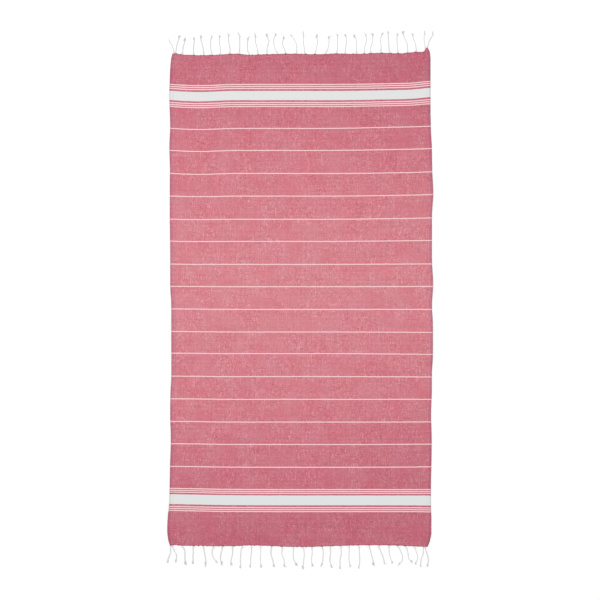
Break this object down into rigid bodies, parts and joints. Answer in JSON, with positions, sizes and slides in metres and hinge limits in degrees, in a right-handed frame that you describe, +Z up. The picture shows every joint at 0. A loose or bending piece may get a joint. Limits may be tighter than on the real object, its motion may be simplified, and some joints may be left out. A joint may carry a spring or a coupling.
{
  "type": "beach towel",
  "caption": "Flat-woven cotton beach towel laid flat, with white cross stripes, turned side hems and knotted fringe at both ends.",
  "frame": {"origin": "middle of the towel, on the surface that it lies on", "axes": "+Y along the towel to the end that is at the top of the picture, +X across it to the picture's right, +Z up out of its upper face"},
  "size_m": [0.9185, 1.85, 0.0064],
  "materials": {
    "woven_cotton": "dull, mottled coral-pink plain weave with white stripes",
    "fringe_cotton": "dull white twisted cotton"
  },
  "bodies": {
    "root": {"cloth": "woven_cotton", "fringe_top": "fringe_cotton", "fringe_bottom": "fringe_cotton"}
  },
  "joints": []
}
